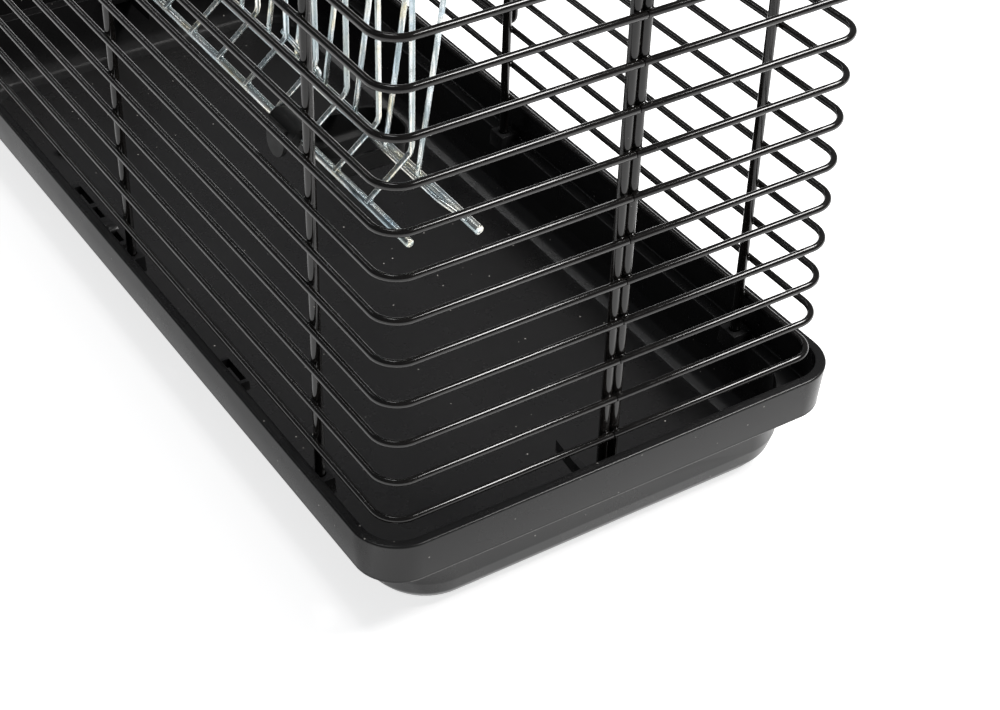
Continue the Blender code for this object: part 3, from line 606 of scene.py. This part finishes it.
def build_shell(name, side, door, nodes):
    bm = bmesh.new()
    x, y = HALF_X - UPRIGHT_IN, HALF_Y - UPRIGHT_IN
    posts = (-UPRIGHT_Y if side < 0 else -RIGHT_NEAR_Y, 0.0, UPRIGHT_Y)
    seed = 0
    for k in range(LEVELS):
        z = LEVEL0_Z + k * PITCH
        if door and CUT_LOW <= k <= CUT_HIGH:
            runs = [shell_line(side, z, y_to=1.9), shell_line(side, z, y_from=UPRIGHT_Y - 1.9)]
        else:
            runs = [shell_line(side, z)]
        for r in runs:
            rod(bm, r, WIRE_R, 16, chamfer=0.25)
        for v in posts:
            seed += 1
            nugget(bm, (side * (HALF_X - 1.7), v, z + 0.15), (1.5, 3.0, 2.25), seed)
        for v in (-1, 1):
            seed += 1
            nugget(bm, (side * (PAIR_X + 0.1), v * (HALF_Y - 1.7), z + 0.15), (2.9, 1.5, 2.25), seed)
    top = TOP_Z + 1.9
    for v in posts:
        rod(bm, [(side * x, v, FOOT_Z), (side * x, v, top)], UPRIGHT_R, 20, chamfer=0.22)
    for v in (-y, y):
        rod(bm, [(side * PAIR_X, v, FOOT_Z), (side * PAIR_X, v, top)], UPRIGHT_R, 20, chamfer=0.22)
    piece(name, bm, WIRE, "cage_top", nodes)


def build_roof():
    bm = bmesh.new()
    x, y = HALF_X - BEND_R, HALF_Y - BEND_R
    rim = []
    for cx, cy, a in ((x, y, 0), (-x, y, 90), (-x, -y, 180), (x, -y, 270)):
        rim += [(p[0], p[1], ROOF_Z) for p in arc(cx, cy, BEND_R, a, a + 90, 12)]
    rod(bm, rim, WIRE_R, 16, closed=True)
    z, seed = ROOF_Z + 0.15, 500
    for i in range(10):
        lx = (i - 4.5) * PITCH
        cut = abs(lx) < 75.0
        runs = [(-HALF_Y, 1.9), (UPRIGHT_Y - 1.9, HALF_Y)] if cut else [(-HALF_Y, HALF_Y)]
        for a, b in runs:
            rod(bm, [(lx, a, z), (lx, b, z)], ROOF_R, 16, chamfer=0.25)
        for v in (-UPRIGHT_Y, 0.0, UPRIGHT_Y):
            seed += 1
            nugget(bm, (lx, v, ROOF_Z + 1.9), (2.2, 2.9, 1.4), seed)
        for v in (-HALF_Y, HALF_Y):
            seed += 1
            nugget(bm, (lx, v - math.copysign(0.6, v), ROOF_Z), (2.6, 2.2, 2.0), seed)
    for v in (-UPRIGHT_Y, 0.0, UPRIGHT_Y):
        rod(bm, [(-HALF_X - 1.2, v, BAR_Z), (HALF_X + 1.2, v, BAR_Z)], UPRIGHT_R, 20, chamfer=0.22)
        for s in (-1, 1):
            seed += 1
            nugget(bm, (s * HALF_X, v, ROOF_Z + 1.9), (2.3, 2.9, 1.4), seed)
    piece("roof_wire_panel", bm, WIRE, "cage_top", ("roof_grille", "roof_door_side_grille"))


def rounded(lo, hi, radius, steps=8):
    return (arc(hi[0] - radius, hi[1] - radius, radius, 0, 90, steps)
            + arc(lo[0] + radius, hi[1] - radius, radius, 90, 180, steps)
            + arc(lo[0] + radius, lo[1] + radius, radius, 180, 270, steps)
            + arc(hi[0] - radius, lo[1] + radius, radius, 270, 360, steps))


def build_doors():
    (y0, y1), (z0, z1) = SIDE_DOOR_Y, SIDE_DOOR_Z
    x, mid = SIDE_DOOR_X, (SIDE_DOOR_Y[0] + SIDE_DOOR_Y[1]) / 2
    bm = bmesh.new()
    rod(bm, [(x, p[0], p[1]) for p in rounded((y0, z0), (y1, z1), DOOR_BEND)], DOOR_R, 16, closed=True)
    for k in range(CUT_LOW, CUT_HIGH + 1):
        z = LEVEL0_Z + k * PITCH
        rod(bm, [(x + 0.12, y0, z), (x + 0.12, y1, z)], DOOR_FILL_R, 14)
        nugget(bm, (x + 1.6, mid, z), (1.2, 2.2, 2.2), 700 + k)
        for v in (y0, y1):
            nugget(bm, (x, v - math.copysign(0.8, v - mid), z), (2.0, 2.2, 2.3), 720 + k + v)
    rod(bm, [(x + 3.1, mid, z0 - 1.0), (x + 3.1, mid, z1 + 1.0)], DOOR_FILL_R, 14)
    for z in (z0, z1):
        nugget(bm, (x + 1.6, mid, z), (1.2, 2.2, 2.2), 760 + z)
    piece("side_door_grille", bm, WIRE, "side_door", ("side_door",))

    (y0, y1), x, z = ROOF_DOOR_Y, ROOF_DOOR_X, ROOF_DOOR_Z
    mid = (y0 + y1) / 2
    bm = bmesh.new()
    rod(bm, [(p[0], p[1], z) for p in rounded((-x, y0), (x, y1), DOOR_BEND)], DOOR_R, 16, closed=True)
    for i in range(6):
        lx = (i - 2.5) * PITCH
        rod(bm, [(lx, y0, z + 0.12), (lx, y1, z + 0.12)], DOOR_FILL_R, 14)
        nugget(bm, (lx, mid, z + 1.6), (2.2, 2.2, 1.2), 800 + i)
        for v in (y0, y1):
            nugget(bm, (lx, v - math.copysign(0.8, v - mid), z), (2.3, 2.2, 2.0), 820 + i + v)
    rod(bm, [(-x - 1.0, mid, z + 3.1), (x + 1.0, mid, z + 3.1)], DOOR_FILL_R, 14)
    for s in (-1, 1):
        nugget(bm, (s * x, mid, z + 1.6), (2.2, 2.2, 1.2), 860 + s)
    piece("roof_door_grille", bm, WIRE, "roof_door", ("roof_door",))


# ---- bands and latches ---------------------------------------------------
def band(node, origin, u, v, reach, r_in, width, gauge=0.9):
    """Steel band closed round two wires, its end lapped over its start."""
    o, u, v = Vector(origin), Vector(u).normalized(), Vector(v).normalized()
    w = u.cross(v)
    r = r_in + gauge / 2
    loop = []                                       # (point on the loop, outward normal)
    for a in range(19):
        t = math.radians(-90 + 10 * a)
        loop.append(((reach, 0), (math.cos(t), math.sin(t))))
    for a in range(19):
        t = math.radians(90 + 10 * a)
        loop.append(((0, 0), (math.cos(t), math.sin(t))))
    path = []
    n = len(loop)
    for i in range(n + 8):
        (cx, cy), (nx, ny) = loop[i % n]
        lap = max(0.0, min(1.0, (i - (n - 4)) / 4.0)) * (gauge + 0.08)
        path.append(o + u * (cx + nx * (r + lap)) + v * (cy + ny * (r + lap)))
    bm = bmesh.new()
    ribbon(bm, path, w, width, gauge, edge=0.3)
    piece(node + "_clip", bm, STRIP, "cage_top", (node,))


def build_bands():
    py = HALF_Y - UPRIGHT_IN
    for tag, s in (("near", -1), ("far", 1)):
        for level, k in (("upper", 11.5), ("lower", 10.5)):
            band("%s_end_band_%s" % (tag, level), (-PAIR_X, s * py, LEVEL0_Z + k * PITCH),
                 (1, 0, 0), (0, 1, 0), 2 * PAIR_X, UPRIGHT_R + CLEAR, 8)
    lift = ROOF_Z - TOP_Z
    for tag, x, y in (("left_near", -1, -1), ("left_far", -1, 1), ("right_near", 1, -1), ("right_far", 1, 1)):
        band("roof_band_" + tag, (x * HALF_X, y * 4.65 * PITCH, TOP_Z), (0, 0, 1), (1, 0, 0), lift, WIRE_R + CLEAR, 8)
        band("roof_end_band_" + tag, (x * 3.0 * PITCH, y * HALF_Y, TOP_Z), (0, 0, 1), (0, 1, 0), lift,
             WIRE_R + CLEAR, 8)
    ux = HALF_X - UPRIGHT_IN
    d = Vector((SIDE_DOOR_X - ux, SIDE_DOOR_Y[0], 0.0))
    u = d.normalized()
    for tag, k in (("lower", 3.5), ("upper", 7.5)):
        band("side_door_hinge_" + tag, (ux, 0.0, LEVEL0_Z + k * PITCH), u, Vector((0, 0, 1)).cross(u),
             d.length, UPRIGHT_R + CLEAR, 9)
    d = Vector((0.0, ROOF_DOOR_Y[0], ROOF_DOOR_Z - BAR_Z))
    u = d.normalized()
    for tag, x in (("left", -2.0 * PITCH), ("right", 2.0 * PITCH)):
        band("roof_door_hinge_" + tag, (x, 0.0, BAR_Z), u, Vector((1, 0, 0)).cross(u), d.length,
             UPRIGHT_R + CLEAR, 9)


def latch(node, body, origin, u, v, tab, arm, hook, hook_r):
    o, u, v = Vector(origin), Vector(u), Vector(v)
    wrap = DOOR_R + 0.35 + 0.6
    flat = [(9 * math.cos(math.radians(tab)), 9 * math.sin(math.radians(tab)))]
    flat += arc(0, 0, wrap, tab, arm, 26)
    flat += arc(0, 0, hook_r, arm, hook, 16)
    path = softened([o + u * a + v * b for a, b in flat], 0.9, 3)
    bm = bmesh.new()
    ribbon(bm, path, u.cross(v), 9, 1.2, edge=0.4)
    piece(node + "_hook", bm, STRIP, body, (node,))


def build_latches():
    ux, swing = HALF_X - UPRIGHT_IN, 80.0
    gap = math.hypot(SIDE_DOOR_X - ux, UPRIGHT_Y - SIDE_DOOR_Y[1])
    way = math.degrees(math.atan2(UPRIGHT_Y - SIDE_DOOR_Y[1], ux - SIDE_DOOR_X))
    latch("side_door_latch", "side_latch", (SIDE_DOOR_X, SIDE_DOOR_Y[1], LEVEL0_Z + 5.5 * PITCH),
          (1, 0, 0), (0, 1, 0), way - 150 + swing, way + 45 + swing, way - 22 + swing, gap + UPRIGHT_R + 1.2)
    gap = UPRIGHT_Y - ROOF_DOOR_Y[1]
    latch("roof_door_latch", "roof_latch", (0.0, ROOF_DOOR_Y[1], ROOF_DOOR_Z), (0, 1, 0), (0, 0, 1),
          150 - swing, -50 - swing, 17 - swing, gap + UPRIGHT_R + 1.2)


# ---- hay rack ------------------------------------------------------------
def build_rack():
    y_last = RACK_Y0 + (RACK_WIRES - 1) * RACK_STEP
    y0, y1 = RACK_Y0 - RACK_END, y_last + RACK_END
    bm = bmesh.new()
    rod(bm, [(ROD_L[0], y0, ROD_L[1]), (ROD_L[0], y1, ROD_L[1])], ROD_L_R, 20, chamfer=0.14)
    arm_z = TOP_Z - PITCH + WIRE_R + CLEAR + THIN_R
    hook_x = -HALF_X - WIRE_R - CLEAR - THIN_R
    start = (ROD_L[0] - 2.0, ROD_L[1] + ROD_L_R - 0.6)
    for k in range(RACK_WIRES):
        y = RACK_Y0 + k * RACK_STEP
        path = [start, (RACK_BEND[0] - 1.0, RACK_BEND[1] - 0.8)]
        if k in (2, 6):
            path += [(RACK_BEND[0], RACK_BEND[1] + 2.5), (RACK_BEND[0], arm_z), (hook_x, arm_z), (hook_x, arm_z - 8.0)]
        else:
            path += [(RACK_BEND[0], RACK_BEND[1] + 2.5), (RACK_BEND[0], RACK_TOP + 2.0)]
        lean = rng.uniform(-0.35, 0.35)
        rod(bm, softened([(p[0], y + lean * i / 3.0, p[1]) for i, p in enumerate(path)], 3.0, 6), THIN_SEEN_R, 12)
        nugget(bm, (ROD_L[0] + 0.4, y, ROD_L[1] + ROD_L_R + 0.1), (1.7, 1.6, 0.8), 900 + k)
    tx = RACK_BEND[0] - 2.1
    rod(bm, [(tx, y0 + 25, RACK_TOP), (tx, y1 - 25, RACK_TOP)], THIN_SEEN_R, 12)
    for k in range(RACK_WIRES):
        nugget(bm, (tx + 1.2, RACK_Y0 + k * RACK_STEP, RACK_TOP), (1.0, 1.5, 1.5), 920 + k)
    r = ROD_R_R + 0.35 + THIN_R
    for k in (4, 8):
        y = RACK_Y0 + k * RACK_STEP + 2.1
        top = (RACK_BEND[0] - 1.2, RACK_BEND[1] + 3.0)
        d = (top[0] - ROD_R[0], top[1] - ROD_R[1])
        a = math.degrees(math.atan2(d[1], d[0])) - math.degrees(math.acos(r / math.hypot(*d)))
        path = [top] + arc(ROD_R[0], ROD_R[1], r, a, a - 280, 26)
        rod(bm, [(p[0], y, p[1]) for p in path], THIN_SEEN_R, 12)
        nugget(bm, (top[0] + 0.6, y - 1.0, top[1]), (1.4, 1.9, 1.6), 940 + k)
    piece("hay_rack_back_wires", bm, ZINC, "rack_back", ("hay_rack_back_grid",))

    bm = bmesh.new()
    rod(bm, [(ROD_R[0], y0, ROD_R[1]), (ROD_R[0], y1, ROD_R[1])], ROD_R_R, 20, chamfer=0.14)
    hook_z = RACK_TOP + THIN_R * 2 + 2.0
    back_x = RACK_BEND[0] - 2.1
    for k in range(RACK_WIRES - 1):
        y = RACK_Y0 + (k + 0.5) * RACK_STEP
        path = [FRONT_FOOT, FRONT_TOP]
        if k in (0, RACK_WIRES - 2):
            path = [FRONT_FOOT, FRONT_TOP, (FRONT_TOP[0] - 0.4, hook_z), (back_x - 3.2, hook_z),
                    (back_x - 3.2, hook_z - 6.5)]
        lean = rng.uniform(-0.35, 0.35)
        rod(bm, softened([(p[0], y + lean * i, p[1]) if i < 2 else (p[0], y + lean, p[1])
                          for i, p in enumerate(path)], 2.4, 6), THIN_SEEN_R, 12)
        nugget(bm, (ROD_R[0] - 1.9, y, ROD_R[1] + 1.2), (1.2, 1.7, 1.5), 960 + k)
    t = 0.93
    tx = FRONT_FOOT[0] + (FRONT_TOP[0] - FRONT_FOOT[0]) * t + 2.1
    tz = FRONT_FOOT[1] + (FRONT_TOP[1] - FRONT_FOOT[1]) * t
    rod(bm, [(tx, RACK_Y0 + 6, tz), (tx, y_last - 6, tz)], THIN_SEEN_R, 12)
    for k in range(RACK_WIRES - 1):
        nugget(bm, (tx - 1.2, RACK_Y0 + (k + 0.5) * RACK_STEP, tz), (1.0, 1.5, 1.5), 980 + k)
    rod(bm, softened([(ROD_R[0] - 1.6, y0 + 9, ROD_R[1] + 1.6), (SPACER[0], y0 + 26, SPACER[1]),
                      (SPACER[0], y1 - 26, SPACER[1]), (ROD_R[0] - 1.6, y1 - 9, ROD_R[1] + 1.6)], 24.0, 8), THIN_SEEN_R, 12)
    piece("hay_rack_front_wires", bm, ZINC, "rack_front", ("hay_rack_front_grid",))


def build_dish():
    hx, hy = (DISH_X[1] - DISH_X[0]) / 2, DISH_HALF_Y
    cx, low = (DISH_X[0] + DISH_X[1]) / 2, DISH_TOP - DISH_DEPTH
    profile = [(-9.0, low + 1.8, 8, 0), (-6.5, low + 2.0, 10, 2.0), (-3.4, low + 4.6, 13, 3.0),
               (-1.8, DISH_TOP, 15, 0.5), (0.0, DISH_TOP, 16.5, 0.6), (-0.4, DISH_TOP - 2.0, 16.1, 0.3),
               (-1.0, DISH_TOP - 2.2, 15.5, 0.2), (-2.2, low + 3.2, 14.5, 3.0), (-6.4, low, 11, 2.0), (-9.0, low, 8, 0)]
    bm = bmesh.new()
    loft(bm, [ring(d, z, r, hx, hy, cx, DISH_Y, 10) for d, z, r in rounded_profile(profile, 4)])

    def refine(ob):
        # C-shaped saddle snapped over the rod, open downwards
        r_in = ROD_L_R + CLEAR
        r_out = r_in + 4.2
        outline = arc(0, 0, r_out, -38, 222, 36) + arc(0, 0, r_in, 222, -38, 36)
        t = bmesh.new()
        w = SADDLE_W / 2 - CLEAR
        a = [t.verts.new(Vector((ROD_L[0] + p[0], DISH_Y - w, ROD_L[1] + p[1])) * MM) for p in outline]
        b = [t.verts.new(Vector((ROD_L[0] + p[0], DISH_Y + w, ROD_L[1] + p[1])) * MM) for p in outline]
        n = len(outline)
        for i in range(n):
            j = (i + 1) % n
            t.faces.new((a[i], a[j], b[j], b[i]))
        f0, f1 = t.faces.new(a[::-1]), t.faces.new(b)
        bmesh.ops.bevel(t, geom=list(f0.edges) + list(f1.edges), offset=0.45 * MM, segments=2, profile=0.6,
                        affect='EDGES')
        boolean(ob, tool_of(t), 'UNION')
        t = bmesh.new()
        brick(t, (ROD_L[0] + 3.1, DISH_Y - 10, DISH_TOP - 6), (ROD_L[0] + 6.4, DISH_Y + 10, ROD_L[1] - 1.0), 0.4)
        boolean(ob, tool_of(t), 'UNION')
        t = bmesh.new()
        tip = arc(0, -7.0, 9.0, 180, 360, 20) + [(9.0, 2.0), (-9.0, 2.0)]
        n = len(tip)
        base, up, thick = Vector((ROD_L[0] - 6.2, DISH_Y + 2.5, ROD_L[1] + 2.0)), Vector((0.12, 0, 0.9928)), 1.2
        across = Vector((0, 1, 0)).cross(up)
        a = [t.verts.new((base + Vector((0, p[0], 0)) + up * p[1] - across * thick) * MM) for p in tip]
        b = [t.verts.new((base + Vector((0, p[0], 0)) + up * p[1] + across * thick) * MM) for p in tip]
        for i in range(n):
            j = (i + 1) % n
            t.faces.new((a[i], a[j], b[j], b[i]))
        f0, f1 = t.faces.new(a[::-1]), t.faces.new(b)
        bmesh.ops.bevel(t, geom=list(f0.edges) + list(f1.edges), offset=0.5 * MM, segments=2, profile=0.6,
                        affect='EDGES')
        boolean(ob, tool_of(t), 'UNION')
    piece("feed_dish_moulding", bm, DISH, "dish", ("feed_dish",), 35.0, refine)


build_tray()
build_shell("left_wire_shell", -1, False, ("left_near_end_grille", "left_side_grille", "left_far_end_grille"))
build_shell("right_wire_shell", 1, True, ("right_near_end_grille", "right_side_grille", "right_door_side_grille",
                                          "right_far_end_grille"))
build_roof()
build_doors()
build_bands()
build_latches()
build_rack()
build_dish()


# ---- floor, light and camera ---------------------------------------------
def stage():
    bm = bmesh.new()
    bmesh.ops.create_grid(bm, x_segments=2, y_segments=2, size=9.0)
    me = bpy.data.meshes.new("floor")
    bm.to_mesh(me)
    bm.free()
    floor = bpy.data.objects.new("floor", me)
    bpy.context.scene.collection.objects.link(floor)
    floor.location = (0, 0, -0.0004)
    k = Look("white_paper_floor")
    tone = k.ramp(k.noise(1.5, 2), [(0.3, (0.86, 0.86, 0.86)), (0.7, (0.88, 0.88, 0.88))])
    k.set(Base_Color=tone, Roughness=0.85, Emission_Color=(1.0, 1.0, 1.0), Emission_Strength=0.74)
    me.materials.append(k.m)

    world = bpy.data.worlds.new("studio")
    world.use_nodes = True
    bg = world.node_tree.nodes["Background"]
    bg.inputs["Color"].default_value = (0.93, 0.96, 1.0, 1.0)
    bg.inputs["Strength"].default_value = 0.16
    bpy.context.scene.world = world

    def softbox(name, at, look_at, sx, sy, radiance, colour=(1, 1, 1)):
        light = bpy.data.lights.new(name, 'AREA')
        light.shape, light.size, light.size_y = 'RECTANGLE', sx, sy
        light.energy = radiance * math.pi * sx * sy
        light.color = colour
        ob = bpy.data.objects.new(name, light)
        ob.location = at
        ob.rotation_mode = 'QUATERNION'
        ob.rotation_quaternion = (Vector(look_at) - Vector(at)).to_track_quat('-Z', 'Y')
        bpy.context.scene.collection.objects.link(ob)

    centre = (0.0, -0.1, 0.2)
    softbox("key_overhead", (1.35, -0.72, 2.2), centre, 1.8, 0.42, 34.0, (1.0, 0.99, 0.975))
    softbox("top_small", (-0.15, 0.3, 2.4), centre, 0.55, 0.55, 11.0, (1.0, 1.0, 1.0))
    softbox("strip_high", (-0.5, 2.7, 2.3), centre, 0.14, 2.6, 9.0, (1.0, 1.0, 1.0))


def camera():
    data = bpy.data.cameras.new("camera")
    cam = bpy.data.objects.new("camera", data)
    bpy.context.scene.collection.objects.link(cam)
    r0 = Vector((0.847836, -0.530036, 0.015372))
    r1 = Vector((-0.323048, -0.539297, -0.777688))
    r2 = Vector((0.420493, 0.654385, -0.628463))
    m = Matrix((r0, -r1, -r2)).transposed().to_4x4()
    m.translation = Vector((-0.52703, -0.97759, 0.80377))
    cam.matrix_world = m
    data.sensor_fit, data.sensor_width = 'HORIZONTAL', 36.0
    data.lens, data.shift_x, data.shift_y = 76.225, 0.0428, 0.0177
    data.clip_start, data.clip_end = 0.02, 60.0
    data.dof.use_dof = False
    bpy.context.scene.camera = cam


stage()
camera()
view_settings = bpy.context.scene.view_settings
view_settings.view_transform = 'Standard'
view_settings.look = 'None'
